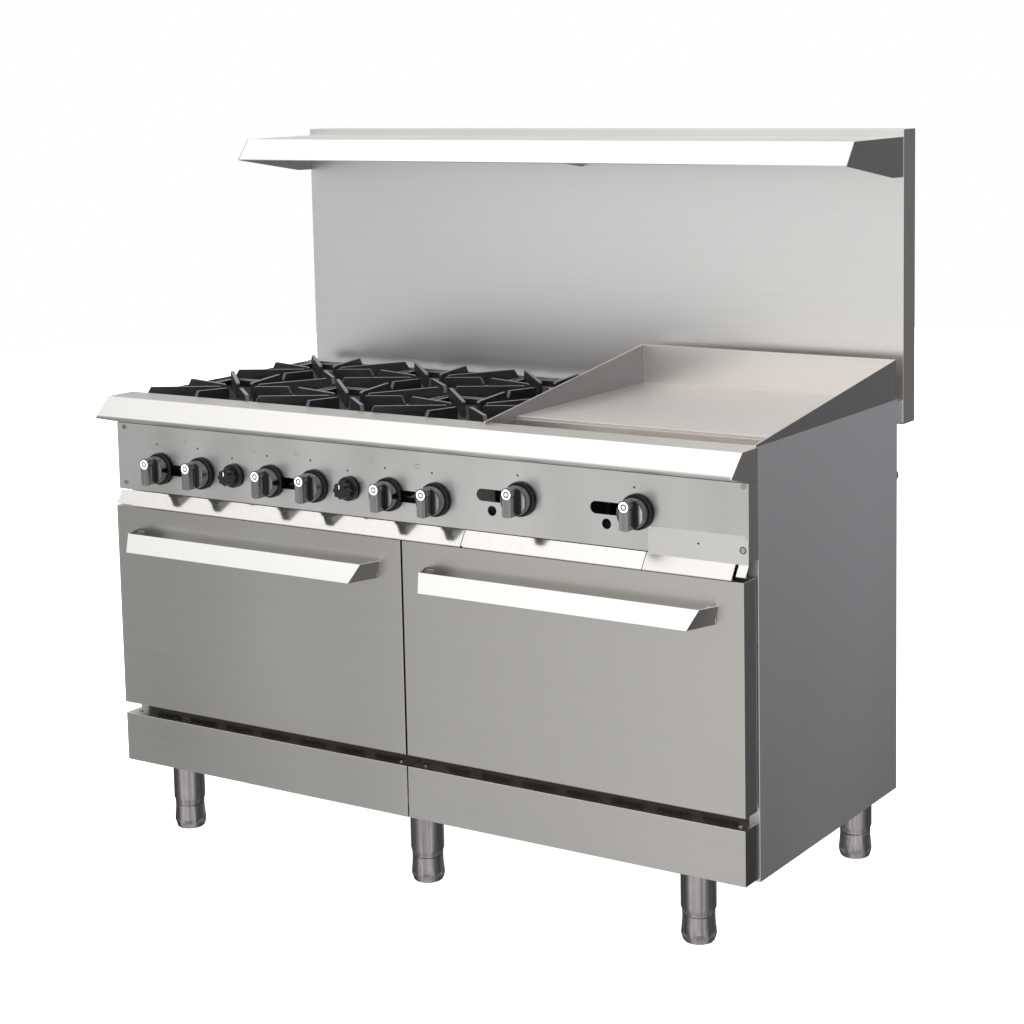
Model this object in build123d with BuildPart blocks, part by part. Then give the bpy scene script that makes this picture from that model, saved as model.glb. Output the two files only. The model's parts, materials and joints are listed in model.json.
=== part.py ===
from build123d import *
from math import cos, radians, sin
import os

# Sixty-inch restaurant range: six open burners, a griddle and two ovens.
# The origin is on the floor under the middle of the footprint.
# +X runs to the cook's right, the doors face -Y, and +Z is up. Millimetres.

# ---- driving dimensions -------------------------------------------------
half_width = 762.0            # outside of the side panels
sheet = 1.5                   # stainless sheet
bend = 1.5                    # inside bend radius of the folded sheets
gap = 0.5                     # fitting gap between separate pieces

front = -309.0                # plane of the side panels' front edges
back = front + 616.0          # plane of their rear edges
guard_front = front + 655.0   # face of the backguard
guard_back = front + 712.0
inlet_end = front + 735.0     # end of the gas inlet pipe

body_bottom = 142.0           # underside of the base frame, on top of the legs
deck = 954.0                  # cooking level: front rail and griddle plate
side_top = 955.0
guard_bottom = 897.0
total_height = 1497.0

panel_front = front - 37.0    # control panel face
panel_bottom = 749.0
panel_top = 894.4
door_front = front - 52.0
door_back = front - 4.0
door_bottom = 277.5
door_top = 715.5
kick_front = front - 50.5
kick_bottom = 147.6
kick_top = 253.4

column_pitch = 302.0          # burner columns
column_x = (-592.0, -290.0, 12.0)
row_y = (front + 172.0, front + 466.0)
griddle_left = 171.0          # outside of the left griddle splash
griddle_right = 759.6
oven_x = (-381.0, 381.0)
oven_half = 332.0             # half the inside width of an oven
oven_floor = 325.0
oven_top = 692.0


# ---- helpers ------------------------------------------------------------
def block(x, y, z, mode=Mode.ADD):
    """A box between two limits on each axis."""
    with Locations(((x[0] + x[1]) / 2, (y[0] + y[1]) / 2, (z[0] + z[1]) / 2)):
        Box(x[1] - x[0], y[1] - y[0], z[1] - z[0], mode=mode)


def shell(x, y, z, openings, wall=sheet):
    """A sheet box, open through the faces named in openings, such as "+z"."""
    block(x, y, z)
    inner = []
    for axis, limits in zip("xyz", (x, y, z)):
        low = limits[0] - wall if "-" + axis in openings else limits[0] + wall
        high = limits[1] + wall if "+" + axis in openings else limits[1] - wall
        inner.append((low, high))
    block(*inner, mode=Mode.SUBTRACT)


def folded(points, x, side=Side.LEFT, radius=bend, thickness=sheet):
    """A folded sheet that runs along X through the given (y, z) points."""
    with BuildSketch(Plane.YZ.offset(x[0])) as section:
        with BuildLine():
            FilletPolyline(*points, radius=radius)
            offset(amount=thickness, side=side)
        make_face()
    extrude(section.sketch, amount=x[1] - x[0])


def side_plate(points, x, mode=Mode.ADD):
    """A flat plate across X whose outline is the given (y, z) points."""
    with BuildSketch(Plane.YZ.offset(x[0])) as outline:
        with BuildLine():
            Polyline(*points, close=True)
        make_face()
    extrude(outline.sketch, amount=x[1] - x[0], mode=mode)


def rod(axis, centre, radius, length, mode=Mode.ADD):
    """A round bar along the named axis, centred on a point."""
    turn = {"x": (0, 90, 0), "y": (90, 0, 0), "z": (0, 0, 0)}[axis]
    with Locations(centre):
        Cylinder(radius, length, rotation=turn, mode=mode)


def strut(start, end, radius, mode=Mode.ADD):
    """A round bar between two points."""
    run = Vector(*end) - Vector(*start)
    with BuildSketch(Plane(origin=start, z_dir=run)) as section:
        Circle(radius)
    extrude(section.sketch, amount=run.length, mode=mode)


def tube_run(points, radius, turn):
    """A bent tube through the given points, with arcs of radius turn."""
    with BuildLine() as run:
        FilletPolyline(*points, radius=turn)
    with BuildSketch(Plane(origin=points[0], z_dir=run.line % 0)) as section:
        Circle(radius)
    sweep(section.sketch, path=run.line)


def plate(corners, thickness):
    """A flat plate through coplanar corners, thickened away from its front."""
    first, second, last = (Vector(*corners[i]) for i in (0, 1, -1))
    plane = Plane(origin=first, x_dir=second - first,
                  z_dir=(second - first).cross(last - first))
    local = [plane.to_local_coords(Vector(*corner)) for corner in corners]
    with BuildSketch(plane) as outline:
        with BuildLine():
            Polyline(*[(point.X, point.Y) for point in local], close=True)
        make_face()
    extrude(outline.sketch, amount=-thickness)


pieces = {}

# ---- legs and base ------------------------------------------------------
leg_radius = 34.0
leg_bore = 14.3
leg_neck = 31.0               # radius where the tube necks in to the foot
leg_neck_rise = 12.0
foot_top = 52.0
foot_stem = 14.0
stem_top = 100.0
foot_flats = 6
foot_hex_height = 12.0        # height of the wrench flats at the foot's base
foot_hex_half = 32.0
leg_front_y = front + 11.5
leg_rear_y = front + 570.0
leg_places = [(-640.0, leg_front_y), (0.0, leg_front_y), (626.0, leg_front_y),
              (-690.0, leg_rear_y), (0.0, leg_rear_y), (690.0, leg_rear_y)]

with BuildPart() as tube:
    with BuildSketch(Plane.XZ):
        with BuildLine():
            Polyline((leg_bore, foot_top + gap), (leg_neck, foot_top + gap),
                     (leg_radius, foot_top + leg_neck_rise), (leg_radius, body_bottom),
                     (leg_bore, body_bottom), close=True)
        make_face()
    revolve(axis=Axis.Z)
with BuildPart() as leg_tubes:
    with Locations(*leg_places):
        add(tube.part)
pieces["leg_tubes"] = leg_tubes

with BuildPart() as foot:
    with BuildSketch(Plane.XZ):
        with BuildLine():
            Polyline((0, 0), (28, 0), (34, 8), (34, 22), (leg_neck, 44),
                     (leg_neck, foot_top), (foot_stem, foot_top), (foot_stem, stem_top),
                     (0, stem_top), close=True)
        make_face()
    revolve(axis=Axis.Z)
    with BuildSketch():
        Circle(leg_radius + sheet)
        RegularPolygon(foot_hex_half, foot_flats, major_radius=False, mode=Mode.SUBTRACT)
    extrude(amount=foot_hex_height, mode=Mode.SUBTRACT)
with BuildPart() as leg_feet:
    with Locations(*leg_places):
        add(foot.part)
pieces["leg_feet"] = leg_feet

frame_top = 177.0
beam_floor = 147.0
beam = 30.0
inside = half_width - sheet - 0.1
frame_y = (front + 5.0, back - 7.0)
pad_half = 50.0               # half the width of the plate over each leg
pad_depth = 66.0
pad_front = 32.0              # how far a front plate reaches forward of its leg's middle
with BuildPart() as base_frame:
    for y in (frame_y[0], frame_y[1] - beam):
        block((-inside, inside), (y, y + beam), (beam_floor, frame_top))
    for x in (-inside, -beam / 2, inside - beam):
        block((x, x + beam), frame_y, (beam_floor, frame_top))
    for x, y in leg_places:
        start = y - pad_front if y == leg_front_y else frame_y[1] - pad_depth
        block((x - pad_half, x + pad_half), (start, start + pad_depth), (body_bottom, beam_floor))
pieces["base_frame"] = base_frame

# ---- casing -------------------------------------------------------------
panel_flange = 22.0
with BuildPart() as right_side_panel:
    with BuildSketch(Plane.XY.offset(body_bottom)):
        with BuildLine():
            FilletPolyline((half_width - panel_flange, front), (half_width, front),
                           (half_width, back), (half_width - panel_flange, back),
                           radius=bend)
            offset(amount=sheet, side=Side.LEFT)
        make_face()
    extrude(amount=side_top - body_bottom)
    block((half_width - panel_flange - 1, half_width - sheet - 0.1), (front - 1, front + 3),
          (panel_top + 1, side_top + 1), mode=Mode.SUBTRACT)
pieces["right_side_panel"] = right_side_panel

burner_side_drop = 10.0       # the left panel is this much lower, beside the burners
with BuildPart() as left_side_panel:
    mirror(right_side_panel.part, about=Plane.YZ)
    block((-half_width - 1, -half_width + panel_flange + 1), (front - 1, back + 1),
          (side_top - burner_side_drop, side_top + 1), mode=Mode.SUBTRACT)
pieces["left_side_panel"] = left_side_panel

inlet_x = 700.0
inlet_z = 775.0
pipe_radius = 13.35
rear_inside = half_width - panel_flange - 1
duct_top = 948.0
duct_bottom = 902.0
duct_mouth = (300.0, 26.0)
with BuildPart() as rear_panel:
    block((-rear_inside, rear_inside), (back - sheet, back), (beam_floor, duct_top))
    shell((-half_width + 6, half_width - 6), (back, guard_front - 0.1),
          (duct_bottom, duct_top), ())
    rod("y", (inlet_x, back, inlet_z), pipe_radius + 4, 20, mode=Mode.SUBTRACT)
    with Locations(*[(x, back + 20, duct_bottom) for x in (oven_x[0], 0, oven_x[1])]):
        Box(*duct_mouth, 8, mode=Mode.SUBTRACT)
pieces["rear_panel"] = rear_panel

post = 24.0
middle_post = 20.0
frame_sheet = 2.0
frame_depth = 25.0
frame_low = 177.0
frame_high = 716.0
post_high = 890.0
frame_edge = half_width - panel_flange - 0.2
slot_z = 265.0
slot_size = (76.0, 10.0)
slot_pitch = 100.0
with BuildPart() as front_frame:
    block((-frame_edge, frame_edge), (front, front + frame_sheet), (frame_low, frame_high))
    for x in (-frame_edge, frame_edge - post):
        shell((x, x + post), (front, front + frame_depth), (frame_low, post_high), ("+y",),
              wall=frame_sheet)
    shell((-middle_post, middle_post), (front, front + frame_depth), (frame_low, frame_high), ("+y",),
          wall=frame_sheet)
    for z in (frame_low, frame_high - frame_sheet):
        block((-frame_edge, frame_edge), (front, front + frame_depth), (z, z + frame_sheet))
    for x in oven_x:
        block((x - oven_half, x + oven_half), (front - 1, front + frame_sheet + 1),
              (oven_floor, oven_top), mode=Mode.SUBTRACT)
        with BuildSketch(Plane.XZ.offset(-front)):
            with Locations(*[(x + step * slot_pitch, slot_z) for step in range(-3, 4)]):
                SlotOverall(*slot_size)
        extrude(amount=-frame_sheet, mode=Mode.SUBTRACT)
pieces["front_frame"] = front_frame

rail_crease = front - 60.0
rail_lip = front - 103.0
rail_rear = front + 18.0
rail_lip_z = 912.0
rail_return = 895.0
rail_round = 5.0
rail_drop = 22.0
with BuildPart() as front_rail:
    folded(((rail_rear, deck - rail_drop), (rail_rear, deck), (rail_crease, deck),
            (rail_lip, rail_lip_z), (panel_front + 1, rail_return)),
           (-inside, inside), radius=rail_round)
    for x in (-half_width, inside - gap):
        side_plate(((rail_crease, deck), (rail_lip, rail_lip_z),
                    (panel_front + 1, rail_return), (front - 0.3, rail_return),
                    (front - 0.3, deck)), (x, x + sheet + 0.1 + gap))
pieces["front_rail"] = front_rail

# ---- control panel ------------------------------------------------------
burner_knob_z = 802.0
thermostat_z = 805.0
griddle_knob_z = 821.5
knob_half_pitch = 57.0
knob_shift = 8.0              # the burner knobs stand this far right of their column
burner_knob_x = [x + knob_shift + side * knob_half_pitch for x in column_x for side in (-1, 1)]
between_x = [x + column_pitch / 2 for x in column_x[:2]]
thermostat_x = [x + knob_shift / 2 for x in between_x]
griddle_knob_x = (276.0, 532.5)
stem_radius = 4.0
stem_hole = 6.0
sight_slot = (76.0, 24.0)
sight_side = 64.0             # griddle sight slot, left of its knob
lighter_hole = (67.0, 29.5)   # griddle lighting hole, left of its knob and below
lighter_radius = 10.0
panel_screws = ((-741.0, 885.0), (-741.0, 765.0), (752.0, 888.0))
cover_screw = (752.0, 772.0)
cover_hole = (660.0, 775.0)
screw_shank = 2.0
with BuildPart() as control_panel:
    folded(((front - 6, panel_bottom), (panel_front, panel_bottom), (panel_front, panel_top),
            (front - 6, panel_top)), (-half_width, half_width), side=Side.RIGHT)
    for x in (-half_width, half_width - sheet):
        block((x, x + sheet), (panel_front + gap, front - 0.3), (panel_bottom, panel_top))
    with BuildSketch(Plane.XZ.offset(-panel_front - 2)):
        with Locations(*[(x, burner_knob_z) for x in burner_knob_x],
                       *[(x, thermostat_z) for x in thermostat_x],
                       *[(x, griddle_knob_z) for x in griddle_knob_x]):
            Circle(stem_hole)
        with Locations(*[(x, burner_knob_z - 1) for x in column_x],
                       *[(x - sight_side, griddle_knob_z) for x in griddle_knob_x]):
            SlotOverall(*sight_slot)
        with Locations(*[(x - lighter_hole[0], griddle_knob_z - lighter_hole[1])
                         for x in griddle_knob_x]):
            Circle(lighter_radius)
        with Locations(*panel_screws, cover_screw, cover_hole):
            Circle(screw_shank)
    extrude(amount=6, both=True, mode=Mode.SUBTRACT)
pieces["control_panel"] = control_panel

lip_top_y = front - 36.5
lip_foot_y = front - 57.0
lip_top_z = 748.0
lip_foot_z = 717.0
lip_hem = 9.0
cover_left = 551.0
cover_line = 742.5
cover_height = 798.0
cover_corner = 12.0
cover_slit = 7.0              # gap around the short end piece of the lip


def tray_lip(x, shorter=0.0):
    """The sloping front lip of a tray, with a hem along its foot."""
    foot_z = lip_foot_z + shorter
    foot_y = lip_foot_y + shorter * (lip_top_y - lip_foot_y) / (lip_top_z - lip_foot_z)
    folded(((foot_y + lip_hem, foot_z), (foot_y, foot_z), (lip_top_y, lip_top_z)), x,
           side=Side.RIGHT)


with BuildPart() as tray_side_cover:
    with BuildSketch(Plane.XZ.offset(-panel_front)):
        with BuildLine():
            Polyline((cover_left + 4, lip_top_z - 1), (half_width, lip_top_z - 1),
                     (half_width, cover_height - cover_corner),
                     (half_width - cover_corner, cover_height),
                     (cover_left + 4, cover_height), close=True)
        make_face()
        with Locations(cover_hole, cover_screw):
            Circle(screw_shank, mode=Mode.SUBTRACT)
    extrude(amount=sheet)
    tray_lip((cover_left, cover_line - cover_slit))
    tray_lip((cover_line, half_width), shorter=cover_slit)
    block((cover_left, half_width), (panel_front - sheet, lip_top_y),
          (lip_top_z - 3, lip_top_z - 1))
pieces["tray_side_cover"] = tray_side_cover

kick_gap = 1.5
kick_edge = half_width - 4
with BuildPart() as right_kick_plate:
    folded(((front - 24, kick_bottom), (kick_front, kick_bottom), (kick_front, kick_top),
            (front - gap, kick_top)), (kick_gap, kick_edge), side=Side.RIGHT)
    block((kick_edge - sheet, kick_edge), (kick_front + gap, front - gap),
          (kick_bottom, kick_top))
pieces["right_kick_plate"] = right_kick_plate

with BuildPart() as left_kick_plate:
    mirror(right_kick_plate.part, about=Plane.YZ)
pieces["left_kick_plate"] = left_kick_plate

# ---- backguard and shelf ------------------------------------------------
guard_half = 758.0
with BuildPart() as backguard:
    shell((-guard_half, guard_half), (guard_front, guard_back),
          (guard_bottom, total_height), ("-z",))
pieces["backguard"] = backguard

shelf_half = 755.0
shelf_z = 1482.0
shelf_lip_y = front + 388.0
shelf_crease = front + 424.0
shelf_lip_z = 1436.0
with BuildPart() as high_shelf:
    folded(((shelf_lip_y + 10, shelf_lip_z), (shelf_lip_y, shelf_lip_z),
            (shelf_crease, shelf_z), (guard_front - 0.1, shelf_z),
            (guard_front - 0.1, shelf_z - 16)), (-shelf_half, shelf_half), side=Side.RIGHT)
pieces["high_shelf"] = high_shelf

bracket_foot = 1401.0
rib_y = front + 440.0
rib_z = (1445.0, 1415.0)
with BuildPart() as shelf_brackets:
    for x in (-shelf_half - sheet, shelf_half):
        side_plate(((shelf_crease, shelf_z), (shelf_lip_y, shelf_lip_z),
                    (front + 604, bracket_foot + 1), (guard_front - 0.1, bracket_foot),
                    (guard_front - 0.1, shelf_z)), (x, x + sheet))
    side_plate(((rib_y, shelf_z - 2), (rib_y, rib_z[0]), (guard_front - 2, rib_z[1]),
                (guard_front - 2, shelf_z - 2)), (-1, 1))
pieces["shelf_brackets"] = shelf_brackets

# ---- cooktop ------------------------------------------------------------
top_left = -inside + gap
top_right = griddle_left - 6
grate_seat = 930.0
seat_bar = 35.0
partition_front = front + 40.0
bar_width = 24.0
side_bar = 18.0
middle_bar = 30.0
side_shelf = 48.0
partition_shelf = 26.0
box_floor = 752.0
side_ledge = 719.0
stiffener = (855.0, 858.0)
bars_y = (front + 20.0, back - 2.0)
with BuildPart() as cooktop_frame:
    for y in (bars_y[0], sum(row_y) / 2 - bar_width / 2, bars_y[1] - bar_width):
        block((top_left, top_right), (y, y + bar_width), (grate_seat - seat_bar, grate_seat))
    for x in (top_left, top_right - side_bar):
        block((x, x + side_bar), bars_y, (grate_seat - seat_bar, grate_seat))
    for x in between_x:
        block((x - middle_bar / 2, x + middle_bar / 2), bars_y,
              (grate_seat - seat_bar, grate_seat))
    block((top_right - sheet, top_right), (partition_front, back - 2), (box_floor, grate_seat))
    block((top_left, top_left + sheet), (partition_front, back - 2), (side_ledge, grate_seat))
    block((top_left, top_left + side_shelf), (partition_front, back - 2),
          (side_ledge, side_ledge + 2))
    block((top_right - partition_shelf, top_right), (partition_front, back - 2),
          (box_floor, box_floor + 2))
    for y in row_y:
        block((top_left, top_right), (y + 18, y + 38), stiffener)
pieces["cooktop_frame"] = cooktop_frame

# ---- grates -------------------------------------------------------------
grate_width = 296.0
grate_depth = 290.0
grate_bar = 11.0
bar_top = 943.0
fin_shoulder = 948.0          # foot of the sloping outer end
fin = 8.0
fin_inner = 40.0              # distance of a finger's inner end from the centre
fin_inner_top = 957.0
fin_inner_foot = 922.0
fin_outer_top = 963.0
fin_slope = 9.0               # run of the sloping outer end
fin_rest = 28.0               # run that passes over the cooktop frame
corner_reach = 1.38           # corner fingers against side fingers


def fin_outline(reach):
    """Outline of a grate finger: distance from the centre against height."""
    return ((fin_inner, fin_inner_foot), (fin_inner, fin_inner_top - 3),
            (fin_inner + 3, fin_inner_top), (reach - fin_slope, fin_outer_top),
            (reach, fin_shoulder), (reach, grate_seat + gap),
            (reach - fin_rest, grate_seat + gap))


def grate(centre):
    """A square cast grate with a finger from each corner and each side."""
    x, y = centre
    half_x = grate_width / 2
    half_y = grate_depth / 2
    with BuildPart() as cast:
        block((x - half_x, x + half_x), (y - half_y, y + half_y), (grate_seat, bar_top))
        block((x - half_x + grate_bar, x + half_x - grate_bar),
              (y - half_y + grate_bar, y + half_y - grate_bar),
              (grate_seat - 1, bar_top + 1), mode=Mode.SUBTRACT)
        for turn in range(0, 360, 45):
            reach = half_y + 0.5 if turn % 90 == 0 else half_y * corner_reach
            plane = Plane(origin=(x, y, 0), x_dir=(cos(radians(turn)), sin(radians(turn)), 0),
                          z_dir=(sin(radians(turn)), -cos(radians(turn)), 0))
            with BuildSketch(plane):
                with BuildLine():
                    Polyline(*fin_outline(reach), close=True)
                make_face()
            extrude(amount=fin / 2, both=True)
    return cast


grate_names = [f"grate_{row}_{place}" for row in ("front", "rear")
               for place in ("left", "centre", "right")]
for name, centre in zip(grate_names, [(x, y) for y in row_y for x in column_x]):
    pieces[name] = grate(centre)

# ---- open burners -------------------------------------------------------
orifice_y = front + 26.0
venturi = 14.0
bowl_z = 858.0
throat_z = 872.0
head_z = 893.0
head_top = 915.0
bowl_radius = 30.0
head_radius = 50.0
head_skirt = 12.0
with BuildPart() as burner_bases:
    for x in column_x:
        for side, y in zip((-1, 1), row_y):
            strut((x + knob_shift + side * knob_half_pitch, orifice_y + 9, burner_knob_z),
                  (x, y, throat_z), venturi)
            with BuildSketch(Plane.XY.offset(bowl_z)):
                with Locations((x, y)):
                    Circle(bowl_radius)
            with BuildSketch(Plane.XY.offset(head_z)):
                with Locations((x, y)):
                    Circle(head_radius)
            loft()
pieces["burner_bases"] = burner_bases

with BuildPart() as burner_heads:
    with BuildSketch(Plane.XY.offset(head_z + 0.1)):
        with Locations(*[(x, y) for y in row_y for x in column_x]):
            Circle(head_radius - 4)
    extrude(amount=head_skirt)
    with BuildSketch(Plane.XY.offset(head_z + head_skirt)):
        with Locations(*[(x, y) for y in row_y for x in column_x]):
            Circle(head_radius)
    extrude(amount=head_top - head_z - head_skirt, taper=30)
pieces["burner_heads"] = burner_heads

pilot_low = 772.0
pilot_top = 905.0
pilot_side = 20.0
pilot_half = 3.0
pilot_radius = 4.0
pilot_runs = ((front + 30.0, front + 250.0), (front + 262.0, front + 388.0))
with BuildPart() as top_pilots:
    for x in column_x:
        for start, end in pilot_runs:
            block((x - pilot_side - pilot_half, x - pilot_side + pilot_half), (start, end),
                  (pilot_low, pilot_low + 2 * pilot_half))
            rod("z", (x - pilot_side, end, (pilot_low + pilot_top) / 2), pilot_radius,
                pilot_top - pilot_low)
pieces["top_pilots"] = top_pilots

# ---- griddle ------------------------------------------------------------
splash = 4.0
plate_front = front + 105.0
plate_under = 934.0
splash_back = back - 2
splash_top = 1036.0
plate_x = (griddle_left + splash + 0.1, griddle_right - splash - 0.1)
with BuildPart() as griddle_plate:
    block(plate_x, (plate_front, splash_back - splash - 0.1), (plate_under, deck))
pieces["griddle_plate"] = griddle_plate

trough_floor = 895.0
chute_foot = 752.0
chute_x = (372.0, 424.0)
chute_y = (front + 42.0, front + 92.0)
with BuildPart() as griddle_surround:
    for x in (griddle_left, griddle_right - splash):
        side_plate(((front - 3, deck + 0.3), (front - 3, deck + 4), (splash_back, splash_top),
                    (splash_back, plate_under), (rail_rear + 1, plate_under),
                    (rail_rear + 1, deck + 0.3)), (x, x + splash))
    block((griddle_left, griddle_right), (splash_back - splash, splash_back),
          (plate_under, splash_top))
    shell(plate_x, (rail_rear + 2, plate_front - 0.1), (trough_floor, deck - 6), ("+z",))
    shell(chute_x, chute_y, (chute_foot, trough_floor + 1), ("-z", "+z"))
    block((chute_x[0] + sheet, chute_x[1] - sheet), (chute_y[0] + sheet, chute_y[1] - sheet),
          (trough_floor - 2, trough_floor + 3), mode=Mode.SUBTRACT)
pieces["griddle_surround"] = griddle_surround

griddle_burner_z = 875.0
cross_y = (front + 132.0, front + 565.0)
bar_offset = 75.0
bar_radius = 13.0
bar_run = 440.0
cross_run = 170.0
cross_radius = (15.0, 11.0)
with BuildPart() as griddle_burners:
    for x in griddle_knob_x:
        strut((x, orifice_y + 8, griddle_knob_z), (x, cross_y[0], griddle_burner_z),
              bar_radius)
        for y, radius in zip(cross_y, cross_radius):
            rod("x", (x, y, griddle_burner_z), radius, cross_run)
        for side in (-1, 1):
            rod("y", (x + side * bar_offset, sum(cross_y) / 2, griddle_burner_z), bar_radius,
                bar_run)
pieces["griddle_burners"] = griddle_burners

# ---- gas train ----------------------------------------------------------
manifold_y = front + 8.0
manifold_end = 690.0
elbow = 20.0
with BuildPart() as gas_manifold:
    tube_run(((-manifold_end, manifold_y, inlet_z), (inlet_x, manifold_y, inlet_z),
              (inlet_x, inlet_end, inlet_z)), pipe_radius, elbow)
pieces["gas_manifold"] = gas_manifold

valve_front = front - 24.0
valve_back = orifice_y - gap
bore_radius = stem_radius + 0.05
stem_inner = front + 2.0
valve_body = (14.0, 12.0)     # half the width and half the height
valve_nose = 10.0
valve_foot = 7.0
thermostat_body = (26.0, 28.0)
with BuildPart() as gas_valves:
    for x, z in ([(x, burner_knob_z) for x in burner_knob_x]
                 + [(x, griddle_knob_z) for x in griddle_knob_x]):
        block((x - valve_body[0], x + valve_body[0]), (front - 12, valve_back),
              (z - valve_body[1], z + valve_body[1]))
        rod("y", (x, (valve_front + front - 10) / 2, z), valve_nose, front - 10 - valve_front)
        block((x - valve_foot, x + valve_foot),
              (manifold_y - valve_foot, manifold_y + valve_foot),
              (inlet_z + pipe_radius, z - valve_body[1] + 1))
        rod("y", (x, (valve_front - 1 + stem_inner + 1) / 2, z), bore_radius,
            stem_inner + 2 - valve_front, mode=Mode.SUBTRACT)
pieces["gas_valves"] = gas_valves

with BuildPart() as oven_thermostats:
    for x in thermostat_x:
        block((x - thermostat_body[0], x + thermostat_body[0]), (valve_front + 6, front + 40),
              (inlet_z + pipe_radius + 1, thermostat_z + thermostat_body[1]))
        rod("y", (x, (valve_front + front) / 2, thermostat_z), valve_nose, front - valve_front)
        rod("y", (x, (valve_front - 1 + stem_inner + 1) / 2, thermostat_z), bore_radius,
            stem_inner + 2 - valve_front, mode=Mode.SUBTRACT)
pieces["oven_thermostats"] = oven_thermostats

gas_line = 4.0
line_turn = 14.0
line_y = front + 32.0
line_low = 205.0
line_high = 756.0
line_side = 752.0
line_end = 255.5
with BuildPart() as oven_gas_lines:
    for start, side, x in zip(thermostat_x, (-1, 1), oven_x):
        tube_run(((start, line_y, inlet_z + pipe_radius + 1), (start, line_y, line_high),
                  (side * line_side, line_y, line_high), (side * line_side, line_y, line_low),
                  (x, line_y, line_low), (x, line_y, line_end)), gas_line, line_turn)
pieces["oven_gas_lines"] = oven_gas_lines

# ---- ovens --------------------------------------------------------------
liner_front = front + frame_depth + 1
liner_back = front + 580.0
liner_bottom = 235.0
ledge = 12.0
line_notch = 7.0              # room for the gas line in the liner's front edge


def oven_liner(x):
    """An oven liner, open at the front, with ledges for the oven deck."""
    reach = oven_half + sheet
    with BuildPart() as liner:
        shell((x - reach, x + reach), (liner_front, liner_back),
              (liner_bottom - sheet, oven_top + sheet), ("-y",))
        for side in (-1, 1):
            low, high = sorted((x + side * oven_half, x + side * (oven_half - ledge)))
            block((low, high), (liner_front, liner_back - sheet), (oven_floor - 8, oven_floor - 5))
        block((x - line_notch, x + line_notch), (liner_front - 1, line_y + line_notch),
              (liner_bottom - sheet - 1, liner_bottom + 1), mode=Mode.SUBTRACT)
    return liner


pieces["left_oven_liner"] = oven_liner(oven_x[0])
pieces["right_oven_liner"] = oven_liner(oven_x[1])

with BuildPart() as oven_decks:
    for x in oven_x:
        block((x - oven_half + 2, x + oven_half - 2), (liner_front + 2, liner_back - 20),
              (oven_floor - 5, oven_floor - 2))
pieces["oven_decks"] = oven_decks

wool = 24.0
with BuildPart() as oven_insulation:
    for x in oven_x:
        reach = oven_half + sheet + 0.3
        shell((x - reach - wool / 2, x + reach + wool / 2),
              (liner_front + 22, liner_back + 0.3 + wool),
              (liner_bottom - 6, oven_top + sheet + 0.3 + wool / 2), ("-y", "-z"),
              wall=wool / 2)
        block((x - reach, x + reach), (liner_back - 20, liner_back + 0.3),
              (liner_bottom - 6, oven_top + sheet + 0.3), mode=Mode.SUBTRACT)
pieces["oven_insulation"] = oven_insulation

oven_burner_z = 275.0
oven_burner = (19.0, 500.0)   # radius and length of the main tube
oven_cross = (12.0, 420.0)
with BuildPart() as oven_burners:
    for x in oven_x:
        rod("y", (x, front + 280, oven_burner_z), *oven_burner)
        for y in (front + 200, front + 420):
            rod("x", (x, y, oven_burner_z), *oven_cross)
        for y in (front + 90, front + 500):
            block((x - 8, x + 8), (y, y + 10), (liner_bottom, oven_burner_z))
pieces["oven_burners"] = oven_burners

# ---- oven racks ---------------------------------------------------------
guide_y = (front + 60.0, front + 540.0)
guide_levels = (410.0, 490.0, 570.0)
guide_rod = 3.0
guide_offset = oven_half - 9.5
upright = (oven_half - 7.0, oven_half - 0.5)
with BuildPart() as rack_guides:
    for x in oven_x:
        for side in (-1, 1):
            place = x + side * guide_offset
            for z in guide_levels:
                rod("y", (place, sum(guide_y) / 2, z), guide_rod, guide_y[1] - guide_y[0])
            low, high = sorted((x + side * upright[0], x + side * upright[1]))
            for y in (guide_y[0] + 20, guide_y[1] - 20):
                block((low, high), (y - 4, y + 4), (oven_floor + 1, oven_top - 20))
pieces["rack_guides"] = rack_guides

rack_rod = 4.0
rack_cross = 3.5
rack_wire = 2.5
rack_half = guide_offset - 0.1
rack_y = (front + 62.0, front + 530.0)
rack_z = guide_levels[1] + guide_rod + rack_rod + 0.3
rack_wires = 12


def oven_rack(x):
    """A welded wire rack: a heavy rod frame with lighter wires across it."""
    middle = sum(rack_y) / 2
    depth = rack_y[1] - rack_y[0]
    inner = rack_half - 12
    with BuildPart() as rack:
        for side in (-1, 1):
            rod("y", (x + side * (rack_half - 2), middle, rack_z), rack_rod, depth)
        for y in (rack_y[0] + rack_rod, middle, rack_y[1] - rack_rod):
            rod("x", (x, y, rack_z), rack_cross, 2 * rack_half - 4)
        for step in range(rack_wires + 1):
            wire_x = x - inner + step * 2 * inner / rack_wires
            rod("y", (wire_x, middle, rack_z + rack_rod), rack_wire, depth - 2 * rack_wire)
    return rack


pieces["left_oven_rack"] = oven_rack(oven_x[0])
pieces["right_oven_rack"] = oven_rack(oven_x[1])

# ---- oven doors ---------------------------------------------------------
door_half = 378.5
door_x = (-380.5, 380.5)
pivot_y = front - 28.0
pivot_z = 288.0
pin_radius = 4.0
arm = 3.5
arm_half = 6.0
arm_inset = 2.0
pin_inset = 32.0
notch = 10.0
door_round = 1.2
plug_inset = (30.0, 40.0)     # raised panel of the liner, in from the oven mouth
plug_rise = 8.0
bushing = (34.0, 8.0)


def door_corner_notches(x):
    """Clearance at both lower corners for the fixed hinge arms."""
    for side in (-1, 1):
        low, high = sorted((x + side * (door_half - notch - 2), x + side * (door_half - sheet)))
        block((low, high), (pivot_y - 9, door_back + 1), (door_bottom - 1, pivot_z + 9),
              mode=Mode.SUBTRACT)


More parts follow.
